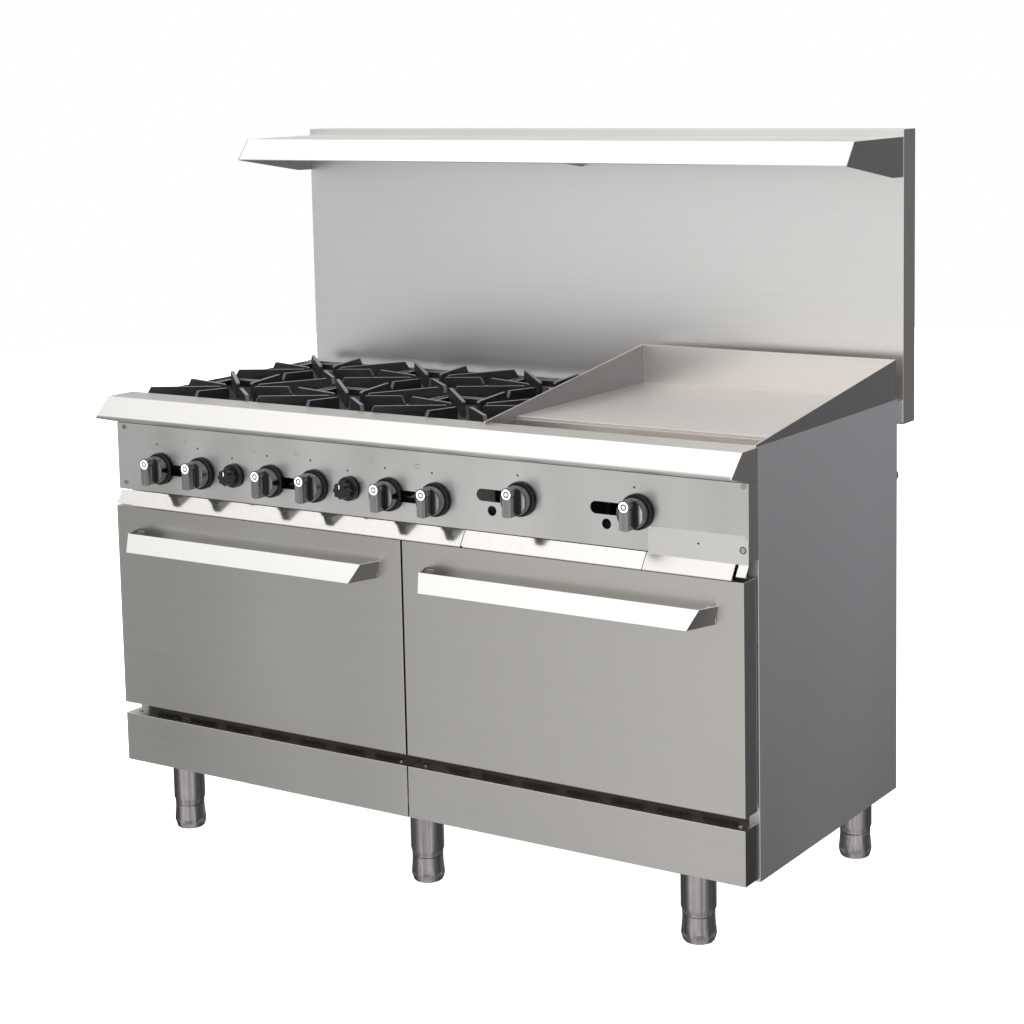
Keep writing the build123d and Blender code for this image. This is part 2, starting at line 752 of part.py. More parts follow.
def door_skin(x):
    """The outer door pan, open towards the oven."""
    with BuildPart() as skin:
        shell((x - door_half, x + door_half), (door_front, door_back - sheet),
              (door_bottom, door_top), ("+y",))
        door_corner_notches(x)
        for edge in (Axis.X, Axis.Z):
            outer = skin.edges().filter_by(edge).group_by(Axis.Y)[0]
            fillet(outer, door_round)
    return skin


def door_liner(x):
    """The inner door panel with the two hinge bushings."""
    with BuildPart() as liner:
        block((x - door_half, x + door_half), (door_back - sheet, door_back),
              (door_bottom, door_top))
        block((x - oven_half + plug_inset[0], x + oven_half - plug_inset[0]),
              (door_back - plug_rise, door_back - sheet),
              (oven_floor + plug_inset[1], oven_top - plug_inset[1]))
        for side in (-1, 1):
            low, high = sorted((x + side * (door_half - bushing[0]),
                                x + side * (door_half - notch - 4)))
            block((low, high), (pivot_y - bushing[1], door_back - sheet),
                  (pivot_z - bushing[1], pivot_z + bushing[1]))
        door_corner_notches(x)
        rod("x", (x, pivot_y, pivot_z), pin_radius + 0.05, 2 * door_half + 2, mode=Mode.SUBTRACT)
    return liner


for name, x in zip(("left", "right"), door_x):
    pieces[f"{name}_door_skin"] = door_skin(x)
    pieces[f"{name}_door_liner"] = door_liner(x)

with BuildPart() as door_hinges:
    for x in door_x:
        for side in (-1, 1):
            outer = x + side * (door_half - arm_inset)
            inner = x + side * (door_half - arm_inset - arm)
            low, high = sorted((outer, inner))
            block((low, high), (pivot_y, front), (pivot_z - arm_half, pivot_z + arm_half))
            rod("x", ((low + high) / 2, pivot_y, pivot_z), arm_half, arm)
            pin_low, pin_high = sorted((inner, x + side * (door_half - pin_inset)))
            rod("x", ((pin_low + pin_high) / 2, pivot_y, pivot_z), pin_radius,
                pin_high - pin_low)
pieces["door_hinges"] = door_hinges

grip_top = (309.5, front - 93.5, 667.0)
grip_foot = (295.5, front - 116.6, 632.0)
end_top = (326.0, door_front, 667.0)
end_foot = (321.3, door_front, 633.0)
foot_tab = ((302.0, 323.0), (636.0, 664.0))
grip_sheet = 3.0


def door_handle(x):
    """A folded grip: a sloping face with angled end plates and foot tabs."""
    def at(point, side):
        return (x + side * point[0], point[1], point[2])

    with BuildPart() as handle:
        plate((at(grip_foot, -1), at(grip_foot, 1), at(grip_top, 1), at(grip_top, -1)),
              grip_sheet)
        plate((at(grip_foot, 1), at(end_foot, 1), at(end_top, 1), at(grip_top, 1)), grip_sheet)
        plate((at(end_foot, -1), at(grip_foot, -1), at(grip_top, -1), at(end_top, -1)),
              grip_sheet)
        for side in (-1, 1):
            low, high = sorted((x + side * foot_tab[0][0], x + side * foot_tab[0][1]))
            block((low, high), (door_front - 2.2, door_front - 0.1), foot_tab[1])
        block((x - door_half, x + door_half), (door_front - 0.1, door_front + 20),
              (door_bottom, door_top), mode=Mode.SUBTRACT)
    return handle


for name, x in zip(("left", "right"), door_x):
    pieces[f"{name}_door_handle"] = door_handle(x)

# ---- trays --------------------------------------------------------------
tray_floor = 723.0
tray_top = 745.0
crumb_x = (-756.0, 144.0)
crumb_pan = (-713.0, 140.0)
grease_x = (145.5, 549.5)
grease_pan = (150.0, 545.0)
pan_front = front - 33.0
lip_relief = 3.0              # the lip's hem is cut back beyond the pan's left side
lip_strap = (front - 52.0, front - 31.0)


def tray(lip, pan, depth):
    """A shallow pan behind a sloping lip."""
    with BuildPart() as body:
        shell(pan, (pan_front, front + depth), (tray_floor, tray_top), ("+z",))
        tray_lip(lip)
        block((lip[0] - 1, pan[0]), (lip_foot_y - 3, lip_foot_y + lip_hem + 1),
              (lip_foot_z - 1, lip_foot_z + lip_relief), mode=Mode.SUBTRACT)
        block((lip[0] + 4, lip[1] - 4), lip_strap, (tray_floor, tray_floor + sheet))
    return body


pieces["crumb_tray"] = tray(crumb_x, crumb_pan, 560.0)
pieces["grease_tray"] = tray(grease_x, grease_pan, 360.0)

# ---- knobs --------------------------------------------------------------
knob_back = front - 41.0
rim_radius = 34.0
rim = 5.0
barrel = 20.0
barrel_radius = 29.5
grip_half = 11.0              # half the width of the grip bar across the face
grip_rise = 22.5
boss_radius = 12.0            # round boss at the grip's upper end
boss_place = 17.0
oven_knob_base = (25.0, 7.0)  # radius and height
oven_knob_grip = (19.0, 24.0)
oven_knob_sides = 8


def on_panel(y):
    """The plane parallel to the control panel at the given Y, facing the cook."""
    return Plane(origin=(0, y, 0), x_dir=(1, 0, 0), z_dir=(0, -1, 0))


def stem(x, z):
    """The round stem between a knob and its valve."""
    rod("y", (x, (stem_inner + knob_back - 4) / 2, z), stem_radius, stem_inner - knob_back + 4)


def burner_knob(x, z):
    """A round knob with a grip bar that has a boss at its upper end, and its stem."""
    with BuildPart() as knob:
        with BuildSketch(on_panel(knob_back)):
            with Locations((x, z)):
                Circle(rim_radius)
        extrude(amount=rim)
        with BuildSketch(on_panel(knob_back - rim)):
            with Locations((x, z)):
                Circle(barrel_radius)
        extrude(amount=barrel)
        with BuildSketch(on_panel(knob_back - rim - barrel)):
            with Locations((x, z)):
                Rectangle(2 * grip_half, 2 * barrel_radius)
                Circle(barrel_radius, mode=Mode.INTERSECT)
            with Locations((x, z + boss_place)):
                Circle(boss_radius)
        extrude(amount=grip_rise)
        stem(x, z)
    return knob


def thermostat_knob(x, z):
    """A smaller knob with a faceted grip, and its stem."""
    with BuildPart() as knob:
        with BuildSketch(on_panel(knob_back)):
            with Locations((x, z)):
                Circle(oven_knob_base[0])
        extrude(amount=oven_knob_base[1])
        with BuildSketch(on_panel(knob_back - oven_knob_base[1])):
            with Locations((x, z)):
                RegularPolygon(oven_knob_grip[0], oven_knob_sides)
        extrude(amount=oven_knob_grip[1], taper=5)
        stem(x, z)
    return knob


knob_places = ("front_left", "rear_left", "front_centre", "rear_centre",
               "front_right", "rear_right")
for place, x in zip(knob_places, burner_knob_x):
    pieces[f"burner_knob_{place}"] = burner_knob(x, burner_knob_z)
for place, x in zip(("left", "right"), thermostat_x):
    pieces[f"oven_knob_{place}"] = thermostat_knob(x, thermostat_z)
for place, x in zip(("left", "right"), griddle_knob_x):
    pieces[f"griddle_knob_{place}"] = burner_knob(x, griddle_knob_z)

# ---- screws -------------------------------------------------------------
screw_head = 2.2
screw_lift = screw_head / 2 + 0.1
screw_radius = 5.0
kick_screw_radius = 4.5
kick_screw_y = kick_front + 22.0
kick_screw_x = (22.0 - kick_edge, -30.0, 30.0, kick_edge - 22.0)
with BuildPart() as screws:
    for x, z in panel_screws:
        rod("y", (x, panel_front - screw_lift, z), screw_radius, screw_head)
    rod("y", (cover_screw[0], panel_front - sheet - screw_lift, cover_screw[1]), screw_radius,
        screw_head)
    for x in kick_screw_x:
        rod("z", (x, kick_screw_y, kick_top + screw_lift), kick_screw_radius, screw_head)
pieces["screws"] = screws

# ---- write --------------------------------------------------------------
os.makedirs("parts", exist_ok=True)
for name, piece in pieces.items():
    piece.part.label = name
    export_step(piece.part, f"parts/{name}.step")
print(len(pieces), "pieces")
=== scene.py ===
import json
from math import cos, pi, radians, sin

import bmesh
import bpy
from mathutils import Matrix, Vector

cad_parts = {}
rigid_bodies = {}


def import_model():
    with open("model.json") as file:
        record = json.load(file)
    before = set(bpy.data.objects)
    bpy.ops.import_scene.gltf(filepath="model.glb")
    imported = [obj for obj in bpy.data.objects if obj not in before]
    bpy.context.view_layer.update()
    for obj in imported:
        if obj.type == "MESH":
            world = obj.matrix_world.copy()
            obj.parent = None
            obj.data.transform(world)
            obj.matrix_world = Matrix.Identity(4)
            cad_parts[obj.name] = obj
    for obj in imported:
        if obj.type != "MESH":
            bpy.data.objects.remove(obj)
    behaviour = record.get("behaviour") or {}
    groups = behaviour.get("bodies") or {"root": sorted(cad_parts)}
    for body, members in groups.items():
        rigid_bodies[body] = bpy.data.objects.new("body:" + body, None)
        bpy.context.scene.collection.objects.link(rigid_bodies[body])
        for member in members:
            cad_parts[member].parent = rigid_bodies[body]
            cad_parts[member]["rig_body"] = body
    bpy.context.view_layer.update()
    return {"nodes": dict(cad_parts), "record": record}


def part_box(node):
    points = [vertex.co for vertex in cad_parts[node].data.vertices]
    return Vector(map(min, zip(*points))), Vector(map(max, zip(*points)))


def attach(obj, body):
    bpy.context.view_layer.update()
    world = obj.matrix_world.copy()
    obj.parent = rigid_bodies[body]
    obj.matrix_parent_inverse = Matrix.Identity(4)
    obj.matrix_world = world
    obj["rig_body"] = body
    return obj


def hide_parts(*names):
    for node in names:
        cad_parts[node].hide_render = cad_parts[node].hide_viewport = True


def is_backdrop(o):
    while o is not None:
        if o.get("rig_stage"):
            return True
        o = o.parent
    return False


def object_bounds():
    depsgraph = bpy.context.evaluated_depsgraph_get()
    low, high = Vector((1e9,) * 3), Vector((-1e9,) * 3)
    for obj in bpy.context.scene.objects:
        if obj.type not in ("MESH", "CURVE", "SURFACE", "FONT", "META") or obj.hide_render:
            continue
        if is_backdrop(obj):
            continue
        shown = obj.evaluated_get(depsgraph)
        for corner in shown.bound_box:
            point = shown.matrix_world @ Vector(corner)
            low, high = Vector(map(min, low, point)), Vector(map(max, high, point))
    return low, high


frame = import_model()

nodes = frame["nodes"]
scene = bpy.context.scene
MM = 0.001
WELD = 0.01 * MM              # points closer than this are one point
# the steel fades are painted reflection gradients across the range's width
HALF_SPAN = 0.8               # steel fades run across x from -0.8 to 0.8 m


# ---- node helpers -------------------------------------------------------
class Shader:
    """A material's node tree, with short calls for the nodes used here."""

    def __init__(self, name):
        self.material = bpy.data.materials.new(name)
        self.material.use_nodes = True
        self.tree = self.material.node_tree
        self.surface = self.tree.nodes["Principled BSDF"]
        self.place = self.add("ShaderNodeTexCoord").outputs["Object"]

    def add(self, kind, **settings):
        node = self.tree.nodes.new(kind)
        for key, value in settings.items():
            setattr(node, key, value)
        return node

    def link(self, source, target):
        self.tree.links.new(source, target)

    def set(self, **values):
        for key, value in values.items():
            self.surface.inputs[key.replace("_", " ")].default_value = value

    def stretched(self, scale, rotation=(0, 0, 0)):
        """Object coordinates, scaled on each axis."""
        mapping = self.add("ShaderNodeMapping")
        mapping.inputs["Scale"].default_value = scale
        mapping.inputs["Rotation"].default_value = rotation
        self.link(self.place, mapping.inputs["Vector"])
        return mapping.outputs["Vector"]

    def noise(self, vector, scale=1.0, detail=4.0, roughness=0.5):
        node = self.add("ShaderNodeTexNoise")
        node.inputs["Scale"].default_value = scale
        node.inputs["Detail"].default_value = detail
        node.inputs["Roughness"].default_value = roughness
        self.link(vector, node.inputs["Vector"])
        return node.outputs["Fac"]

    def cells(self, vector, scale):
        node = self.add("ShaderNodeTexVoronoi")
        node.inputs["Scale"].default_value = scale
        self.link(vector, node.inputs["Vector"])
        return node

    def levels(self, value, low, high, out_low, out_high):
        """Maps low..high of a value to out_low..out_high."""
        node = self.add("ShaderNodeMapRange")
        for key, number in (("From Min", low), ("From Max", high), ("To Min", out_low),
                            ("To Max", out_high)):
            node.inputs[key].default_value = number
        self.link(value, node.inputs["Value"])
        return node.outputs["Result"]

    def ramp(self, value, *stops):
        """A colour ramp through (position, colour) stops."""
        node = self.add("ShaderNodeValToRGB")
        elements = node.color_ramp.elements
        while len(elements) < len(stops):
            elements.new(1.0)
        for element, (position, colour) in zip(elements, stops):
            element.position = position
            element.color = (*colour, 1.0)
        self.link(value, node.inputs["Fac"])
        return node.outputs["Color"]

    def math(self, operation, first, second):
        node = self.add("ShaderNodeMath", operation=operation)
        for socket, value in zip(node.inputs, (first, second)):
            if isinstance(value, (int, float)):
                socket.default_value = value
            else:
                self.link(value, socket)
        return node.outputs["Value"]

    def blend(self, factor, first, second, mode="MIX"):
        node = self.add("ShaderNodeMix", data_type="RGBA", blend_type=mode)
        if isinstance(factor, (int, float)):
            node.inputs["Factor"].default_value = factor
        else:
            self.link(factor, node.inputs["Factor"])
        for socket, value in zip((node.inputs[6], node.inputs[7]), (first, second)):
            if isinstance(value, tuple):
                socket.default_value = (*value, 1.0)
            else:
                self.link(value, socket)
        return node.outputs[2]

    def bump(self, height, distance, strength=1.0, previous=None):
        node = self.add("ShaderNodeBump")
        node.inputs["Strength"].default_value = strength
        node.inputs["Distance"].default_value = distance
        self.link(height, node.inputs["Height"])
        if previous is not None:
            self.link(previous, node.inputs["Normal"])
        return node.outputs["Normal"]

    def wire(self, **sources):
        for key, source in sources.items():
            self.link(source, self.surface.inputs[key.replace("_", " ")])


def tone(colour, factor):
    return tuple(min(channel * factor, 1.0) for channel in colour)


def grain_scale(axis, across, along):
    """Noise scales for a grain that runs along one axis."""
    scale = [across] * 3
    scale["xyz".index(axis)] = along
    return scale


# ---- materials ----------------------------------------------------------
def brushed(name, colour, grain, roughness=0.3, contrast=0.05, clouds=0.05, relief=0.5,
            painted_reflection_fade=None, cloud_scale=2.2):
    """Stainless steel brushed along one axis, with faint random clouds of darker tone.

    A fade, given as (x, brightness) stops along the range's width, is a painted reflection gradient
    in the base colour."""
    shader = Shader(name)
    fine = shader.noise(shader.stretched(grain_scale(grain, 260.0, 2.0)), detail=3.0,
                        roughness=0.6)
    streaks = shader.noise(shader.stretched(grain_scale(grain, 70.0, 1.2)), detail=3.0,
                           roughness=0.55)
    cloud = shader.noise(shader.stretched((cloud_scale, cloud_scale, cloud_scale * 0.4)),
                         detail=2.0, roughness=0.5)
    lines = shader.math("ADD", shader.levels(fine, 0.25, 0.75, 0.0, 0.5),
                        shader.levels(streaks, 0.25, 0.75, 0.0, 0.5))
    base = shader.ramp(lines, (0.15, tone(colour, 1 - contrast)),
                       (0.85, tone(colour, 1 + contrast)))
    cloud_tone = shader.ramp(cloud, (0.3, (1 - clouds,) * 3), (0.7, (1.0, 1.0, 1.0)))
    base = shader.blend(1.0, base, cloud_tone, "MULTIPLY")
    # painted reflection: the base colour is scaled by a brightness gradient across x
    if painted_reflection_fade:
        width = shader.add("ShaderNodeSeparateXYZ")
        shader.link(shader.place, width.inputs[0])
        share = shader.levels(width.outputs["X"], -HALF_SPAN, HALF_SPAN, 0.0, 1.0)
        stops = [((x + HALF_SPAN) / (2 * HALF_SPAN), (level,) * 3) for x, level in painted_reflection_fade]
        base = shader.blend(1.0, base, shader.ramp(share, *stops), "MULTIPLY")
    shader.wire(Base_Color=base)
    rough = shader.math("ADD", shader.levels(lines, 0.0, 1.0, -0.02, 0.02),
                        shader.levels(cloud, 0.3, 0.7, roughness - 0.03, roughness + 0.04))
    shader.wire(Roughness=rough, Normal=shader.bump(lines, 0.00006, relief))
    shader.set(Metallic=1.0)
    return shader.material


def cast_iron(name, colour, top_highlight=0.0, grit=1.0):
    """Black cast iron: a sandy skin, with a painted highlight that greys its upward-facing faces.
    """
    shader = Shader(name)
    place = shader.stretched((1.0, 1.0, 1.0))
    sand = shader.noise(place, scale=900.0, detail=3.0, roughness=0.7)
    pits = shader.noise(place, scale=160.0, detail=4.0, roughness=0.6)
    wear = shader.noise(place, scale=24.0, detail=5.0, roughness=0.6)
    skin = shader.ramp(wear, (0.3, tone(colour, 0.7)), (0.55, colour), (0.8, tone(colour, 1.9)))
    facing = shader.add("ShaderNodeSeparateXYZ")
    shader.link(shader.add("ShaderNodeNewGeometry").outputs["Normal"], facing.inputs[0])
    # painted highlight: faces that look up blend towards grey
    top_highlight_mask = shader.levels(facing.outputs["Z"], 0.4, 0.9, 0.0, top_highlight)
    shader.wire(Base_Color=shader.blend(top_highlight_mask, skin, (0.16, 0.165, 0.175)),
                Roughness=shader.levels(pits, 0.2, 0.8, 0.32, 0.56))
    height = shader.math("ADD", shader.levels(sand, 0.0, 1.0, 0.0, 0.5), pits)
    shader.wire(Normal=shader.bump(height, 0.00045 * grit, 0.6))
    shader.set(Metallic=0.0, Specular_IOR_Level=0.7)
    return shader.material


def satin_chrome(name, colour):
    """Satin chrome with fine turned rings and upright streaks."""
    shader = Shader(name)
    streaks = shader.noise(shader.stretched((160.0, 160.0, 3.0)), detail=3.0)
    rings = shader.noise(shader.stretched((6.0, 6.0, 900.0)), detail=2.0)
    cloud = shader.noise(shader.place, scale=40.0)
    base = shader.ramp(cloud, (0.3, tone(colour, 0.85)), (0.7, colour))
    shade = shader.ramp(streaks, (0.35, (0.55,) * 3), (0.65, (1.0,) * 3))
    shader.wire(Base_Color=shader.blend(1.0, base, shade, "MULTIPLY"),
                Roughness=shader.levels(rings, 0.3, 0.7, 0.14, 0.22),
                Normal=shader.bump(rings, 0.00003, 0.5))
    shader.set(Metallic=1.0)
    return shader.material


def coated_sheet(name, colour, roughness, speckle, metallic=0.0):
    """Painted, enamelled or aluminised sheet with speckles and slight waviness."""
    shader = Shader(name)
    dots = shader.cells(shader.place, 420.0)
    mark = shader.levels(dots.outputs["Distance"], 0.1, 0.35, 1.0, 0.0)
    cloud = shader.noise(shader.place, scale=7.0, detail=5.0)
    base = shader.ramp(cloud, (0.3, tone(colour, 0.88)), (0.7, tone(colour, 1.06)))
    shader.wire(Base_Color=shader.blend(mark, base, tone(colour, speckle)),
                Roughness=shader.levels(cloud, 0.25, 0.75, roughness - 0.05, roughness + 0.08),
                Normal=shader.bump(shader.noise(shader.place, scale=260.0), 0.0001, 0.4))
    shader.set(Metallic=metallic)
    return shader.material


def moulded(name, colour, roughness, metallic=0.0, grain_scale=1100.0):
    """Moulded plastic or lacquer with a fine skin."""
    shader = Shader(name)
    skin = shader.noise(shader.place, scale=grain_scale, detail=2.0)
    wear = shader.noise(shader.place, scale=55.0, detail=4.0)
    shader.wire(Base_Color=shader.ramp(wear, (0.3, tone(colour, 0.85)), (0.75, tone(colour, 1.15))),
                Roughness=shader.levels(wear, 0.25, 0.75, roughness - 0.05, roughness + 0.07),
                Normal=shader.bump(skin, 0.00006, 0.5))
    shader.set(Metallic=metallic)
    return shader.material


def fibre(name, colour):
    """Mineral wool: matted fibres."""
    shader = Shader(name)
    strands = shader.noise(shader.stretched((90.0, 300.0, 90.0)), detail=6.0, roughness=0.7)
    shader.wire(Base_Color=shader.ramp(strands, (0.3, tone(colour, 0.6)), (0.7, colour)),
                Normal=shader.bump(strands, 0.003, 0.8))
    shader.set(Roughness=0.95)
    return shader.material


paint = {
    "stainless_front": brushed("front_steel", (0.69, 0.67, 0.635), "x", 0.3, 0.02, 0.12, 0.03),
    "stainless_bright": brushed("bright_steel", (1.0, 0.99, 0.96), "x", 0.3, 0.02, 0.02, 0.03),
    # painted reflection: the panel's base colour fades darker to the right, and the rail's (below)
    # darker to the left
    "panel_steel": brushed("panel_steel", (1.0, 0.985, 0.955), "x", 0.3, 0.02, 0.2, 0.03,
                           ((-0.76, 0.9), (-0.3, 1.0), (0.25, 0.92), (0.76, 0.78)), 6.0),
    "cover_steel": brushed("cover_steel", (0.88, 0.86, 0.83), "x", 0.26, 0.02, 0.04, 0.03),
    "lip_steel": brushed("lip_steel", (0.90, 0.875, 0.84), "z", 0.12, 0.04, 0.03, 0.06),
    # darker copies of the steel for faces that look to the sides (sheet ends and the griddle splash
    # walls): painted shade
    "end_steel": brushed("end_steel", (0.42, 0.405, 0.395), "z", 0.36, 0.04, 0.06, 0.2),
    "splash_shade_steel": brushed("splash_shade_steel", (0.29, 0.285, 0.30), "z", 0.34, 0.03, 0.06, 0.1),
    "rail_steel": brushed("rail_steel", (0.95, 0.93, 0.89), "x", 0.3, 0.02, 0.02, 0.03,
                          ((-0.76, 0.8), (-0.1, 0.86), (0.3, 0.93), (0.76, 0.96))),
    "plate_steel": brushed("plate_steel", (0.97, 0.935, 0.90), "x", 0.44, 0.03, 0.04, 0.05),
    # painted shade: a near-black copy of the steel for the kick plates' side faces
    "dark_end": brushed("dark_end", (0.17, 0.16, 0.155), "z", 0.4, 0.04, 0.06, 0.1),
    "stainless_side": brushed("side_steel", (0.74, 0.76, 0.79), "z", 0.36, 0.02, 0.05, 0.2),
    "stainless_guard": brushed("guard_steel", (0.97, 0.955, 0.935), "x", 0.32, 0.02, 0.07,
                               0.03),
    # dark steel for the shelf brackets; on the handles' and door skins' side faces it is painted
    # shade
    "bracket_steel": brushed("bracket_steel", (0.3, 0.29, 0.29), "x", 0.4),
    "griddle_steel": brushed("griddle_steel", (0.96, 0.925, 0.89), "x", 0.32, 0.015, 0.05, 0.02),
    # the grates carry the painted top highlight
    "cast_iron": cast_iron("grate_iron", (0.011, 0.0115, 0.013), 0.85),
    "burner_iron": cast_iron("burner_iron", (0.07, 0.065, 0.06)),
    "chrome_leg": satin_chrome("leg_chrome", (0.56, 0.52, 0.54)),
    "galvanised": coated_sheet("aluminised_sheet", (0.56, 0.57, 0.58), 0.42, 1.1, 0.9),
    "dark_frame": coated_sheet("dark_sheet", (0.13, 0.12, 0.12), 0.45, 1.2, 0.6),
    "enamel": coated_sheet("oven_enamel", (0.035, 0.045, 0.07), 0.22, 4.0),
    "wool": fibre("mineral_wool", (0.62, 0.57, 0.42)),
    "rack_wire": satin_chrome("nickel_wire", (0.66, 0.66, 0.65)),
    "gas_pipe": coated_sheet("black_pipe", (0.05, 0.05, 0.05), 0.5, 1.4, 0.3),
    "aluminium_tube": satin_chrome("soft_tube", (0.72, 0.73, 0.74)),
    "valve_brass": satin_chrome("valve_brass", (0.16, 0.12, 0.06)),
    "hinge_steel": satin_chrome("zinc_steel", (0.62, 0.62, 0.62)),
    "knob_graphite": brushed("knob_graphite", (0.16, 0.16, 0.17), "z", 0.22, 0.6),
    "knob_black": moulded("knob_black", (0.008, 0.008, 0.009), 0.3),
    "knob_rubber": moulded("knob_rubber", (0.006, 0.006, 0.007), 0.6),
    "knob_silver": brushed("knob_silver", (0.42, 0.415, 0.41), "z", 0.3, 0.3),
    # painted highlight on the gas knobs' faces
    "knob_bright": brushed("knob_bright", (0.86, 0.86, 0.87), "z", 0.22, 0.05),
    "white_print": moulded("white_print", (0.86, 0.86, 0.85), 0.4),
    "dark_print_and_shadow": moulded("dark_print_and_shadow", (0.03, 0.03, 0.035), 0.5),
    "grey_print": moulded("grey_print", (0.3, 0.3, 0.29), 0.5),
}

slot_of = {row["node"]: row["material_slot"] for row in frame["record"]["subparts"]}
for name, node in nodes.items():
    node.data.materials.clear()
    node.data.materials.append(paint[slot_of[name]])


# ---- mesh helpers -------------------------------------------------------
def make_object(name, mesh, slot_name, body, material=None):
    """Links a mesh as a piece that rides on a body."""
    piece = bpy.data.objects.new(name, mesh)
    scene.collection.objects.link(piece)
    piece.data.materials.append(material or paint[slot_name])
    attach(piece, body)
    return piece


def mesh_of(bm, name):
    mesh = bpy.data.meshes.new(name)
    bmesh.ops.recalc_face_normals(bm, faces=bm.faces)
    bm.to_mesh(mesh)
    bm.free()
    return mesh


def bevel(piece, width, angle=30):
    """Rounds every sharp edge of a piece."""
    rounding = piece.modifiers.new("edge", "BEVEL")
    rounding.width = width
    rounding.segments = 2
    rounding.limit_method = "ANGLE"
    rounding.angle_limit = radians(angle)
    for polygon in piece.data.polygons:
        polygon.use_smooth = True
    facing = piece.modifiers.new("facing", "WEIGHTED_NORMAL")
    facing.weight = 100
    facing.keep_sharp = True


def soften(name, width, angle=30, material=None, side_shade=None):
    """The CAD node's own shape again, with its sheet edges rounded.

    The last argument is a darker finish for the faces that look to the sides: painted shade on
    them."""
    node = nodes[name]
    bm = bmesh.new()
    bm.from_mesh(node.data)
    bmesh.ops.remove_doubles(bm, verts=bm.verts, dist=WELD)
    bmesh.ops.dissolve_limit(bm, angle_limit=radians(1), verts=bm.verts, edges=bm.edges)
    mesh = mesh_of(bm, name + "_formed")
    piece = make_object(name + "_formed", mesh, slot_of[name], node["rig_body"], material)
    # painted shade: faces whose normal points along x get the darker side finish
    if side_shade:
        mesh.materials.append(side_shade)
        for polygon in mesh.polygons:
            polygon.material_index = int(abs(polygon.normal.x) > 0.8)
    bevel(piece, width, angle)
    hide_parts(name)


def lathe(bm, profile, turns=64, shape=None, place=(0.0, 0.0)):
    """Revolves a (radius, height) profile about Z.

    shape(angle, radius, height) may alter a radius."""
    rings = []
    for radius, height in profile:
        ring = []
        for step in range(turns):
            angle = 2 * pi * step / turns
            reach = shape(angle, radius, height) if shape else radius
            ring.append(bm.verts.new((place[0] + reach * cos(angle),
                                      place[1] + reach * sin(angle), height)))
        rings.append(ring)
    for lower, upper in zip(rings, rings[1:]):
        for step in range(turns):
            after = (step + 1) % turns
            bm.faces.new((lower[step], lower[after], upper[after], upper[step]))
    bm.faces.new(rings[0])
    bm.faces.new(rings[-1])


def extruded(bm, outline, low, high):
    """A prism of an (x, y) outline between two heights."""
    bottom = [bm.verts.new((x, y, low)) for x, y in outline]
    top = [bm.verts.new((x, y, high)) for x, y in outline]
    bm.faces.new(bottom)
    bm.faces.new(top)
    for i in range(len(outline)):
        j = (i + 1) % len(outline)
        bm.faces.new((bottom[i], bottom[j], top[j], top[i]))
    return bottom + top


def circle(centre, radius, sides):
    """The corners of a regular outline, in order."""
    turns = [2 * pi * side / sides for side in range(sides)]
    return [(centre[0] + radius * cos(turn), centre[1] + radius * sin(turn)) for turn in turns]


# ---- sheet metal and castings -------------------------------------------
edge_widths = {
    "left_side_panel": 0.6, "right_side_panel": 0.6, "control_panel": 0.5,
    "front_rail": 0.7, "tray_side_cover": 0.5, "crumb_tray": 0.5, "grease_tray": 0.5,
    "left_kick_plate": 0.6, "right_kick_plate": 0.6, "backguard": 0.9, "high_shelf": 0.6,
    "shelf_brackets": 0.4, "griddle_surround": 0.5, "griddle_plate": 0.8,
    "left_door_handle": 0.8, "right_door_handle": 0.8, "left_door_skin": 0.4,
    "right_door_skin": 0.4, "left_door_liner": 0.5, "right_door_liner": 0.5,
    "front_frame": 0.4, "cooktop_frame": 1.0, "base_frame": 1.0, "rear_panel": 0.5,
    "oven_decks": 0.6, "left_oven_liner": 0.4, "right_oven_liner": 0.4,
    "gas_valves": 0.8, "oven_thermostats": 0.8, "burner_bases": 1.0,
}
finishes = {"crumb_tray": "lip_steel", "grease_tray": "lip_steel",
            "shelf_brackets": "bracket_steel", "control_panel": "panel_steel",
            "tray_side_cover": "cover_steel", "front_rail": "rail_steel",
            "griddle_plate": "plate_steel"}
# painted shade: faces that look to the sides get a darker copy of the steel
side_shade_finishes = {"front_rail": "end_steel", "control_panel": "end_steel", "backguard": "end_steel",
                "tray_side_cover": "end_steel", "griddle_surround": "splash_shade_steel",
                "left_door_handle": "bracket_steel", "right_door_handle": "bracket_steel",
                "left_door_skin": "bracket_steel", "right_door_skin": "bracket_steel",
                "left_kick_plate": "dark_end", "right_kick_plate": "dark_end"}
for name, width in edge_widths.items():
    soften(name, width * MM, material=paint.get(finishes.get(name)),
           side_shade=paint.get(side_shade_finishes.get(name)))
for name in nodes:
    if name.startswith("grate_"):
        soften(name, 1.3 * MM, angle=20)


# ---- knobs --------------------------------------------------------------
def knob_piece(name, part, centre, build, material, width=0.5):
    """One part of a knob, built in millimetres as (right, up, out towards the cook)."""
    bm = bmesh.new()
    build(bm)
    turn = Matrix(((MM, 0, 0, centre[0]), (0, 0, -MM, centre[1]), (0, MM, 0, centre[2]),
                   (0, 0, 0, 1)))
    bmesh.ops.transform(bm, matrix=turn, verts=bm.verts)
    label = f"{name}_{part}"
    piece = make_object(label, mesh_of(bm, label), slot_of[name], nodes[name]["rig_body"],
                        paint[material])
    bevel(piece, width * MM)
    return piece


def chord(radius, start, end, steps=28):
    """The outline of a disc between two upright chords."""
    points = []
    for side in (-1, 1):
        for step in range(steps + 1):
            x = start + (end - start) * step / steps
            x = x if side < 0 else start + end - x
            points.append((x, side * (radius ** 2 - x ** 2) ** 0.5))
    return points


def prism(outline, low, high):
    """A builder for knob_piece: an outline raised from one height to another."""
    return lambda bm: extruded(bm, outline, low, high)


